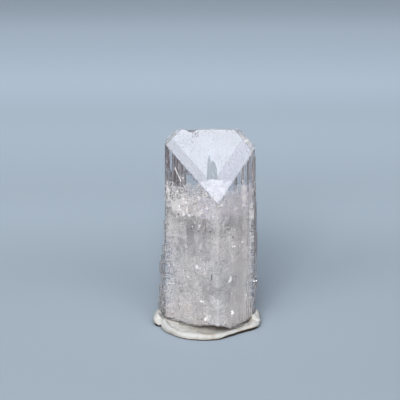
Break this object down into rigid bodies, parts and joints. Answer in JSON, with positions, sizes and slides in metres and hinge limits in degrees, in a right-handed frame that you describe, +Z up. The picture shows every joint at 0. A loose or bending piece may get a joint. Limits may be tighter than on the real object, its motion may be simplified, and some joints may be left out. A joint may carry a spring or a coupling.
{
  "type": "danburite crystal",
  "caption": "Clear to milky danburite crystal, a stout striated prism with a chisel-shaped end, standing upright in a pressed pad of white mounting putty.",
  "frame": {"origin": "on the surface that the pad stands on, under the middle of the whole", "axes": "+Z up along the crystal's long axis, -Y towards the front edge under the chisel face, +X to the right"},
  "size_m": [0.0231, 0.0222, 0.0418],
  "materials": {
    "danburite": "glassy faces over a milky, fractured body",
    "putty": "soft matte white putty"
  },
  "bodies": {
    "root": {"crystal": "danburite", "putty": "putty"}
  },
  "joints": []
}
